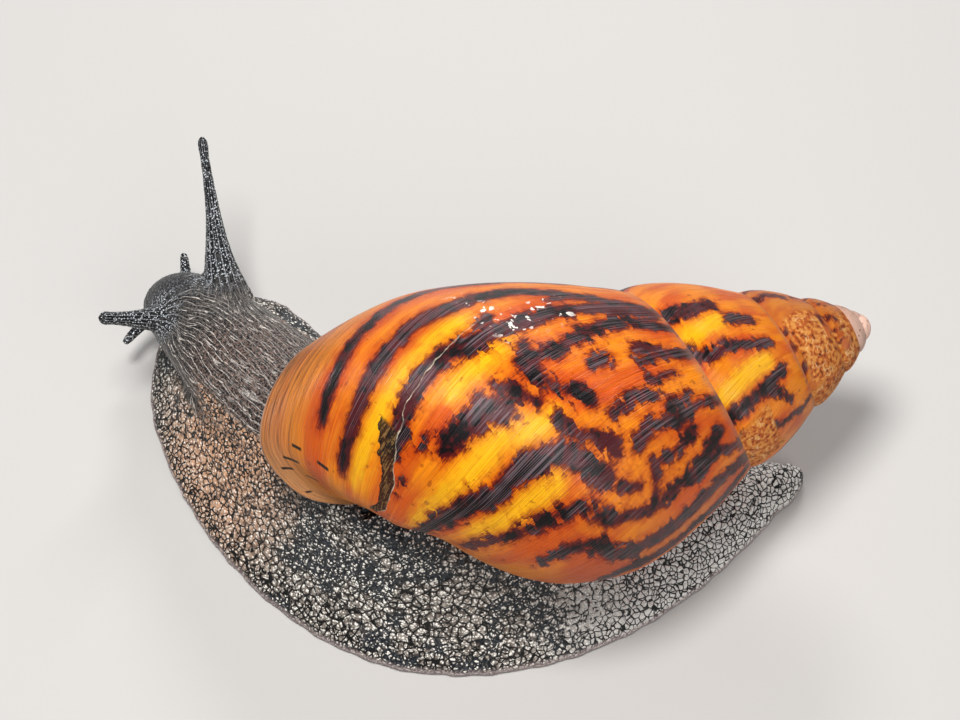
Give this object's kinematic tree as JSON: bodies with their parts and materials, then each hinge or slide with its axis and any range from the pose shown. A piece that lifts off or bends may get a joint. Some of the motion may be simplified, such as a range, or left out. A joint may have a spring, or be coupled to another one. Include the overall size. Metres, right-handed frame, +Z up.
{
  "type": "giant african land snail",
  "caption": "Life-size still model of a giant african land snail crawling on a flat sole, its body curved and its striped, pointed shell carried on its back.",
  "frame": {"origin": "centre of the bounding box on the flat sole", "axes": "+X towards the shell's apex and the tail, -X and +Y towards the head, +Z up"},
  "size_m": [0.2212, 0.1524, 0.0949],
  "materials": {
    "shell": "glossy, orange with dark brown flames",
    "skin": "wet, grey and black, pebbled",
    "mantle": "wet, smooth",
    "eye": "wet, black"
  },
  "bodies": {
    "root": {"shell": "shell", "mantle_collar": "mantle", "foot_tail": "skin", "foot_middle": "skin", "foot_front": "skin", "neck": "skin", "head": "skin", "upper_tentacle_right": "skin", "upper_tentacle_left": "skin", "lower_tentacle_right": "skin", "lower_tentacle_left": "skin", "eye_right": "eye", "eye_left": "eye"}
  },
  "joints": []
}
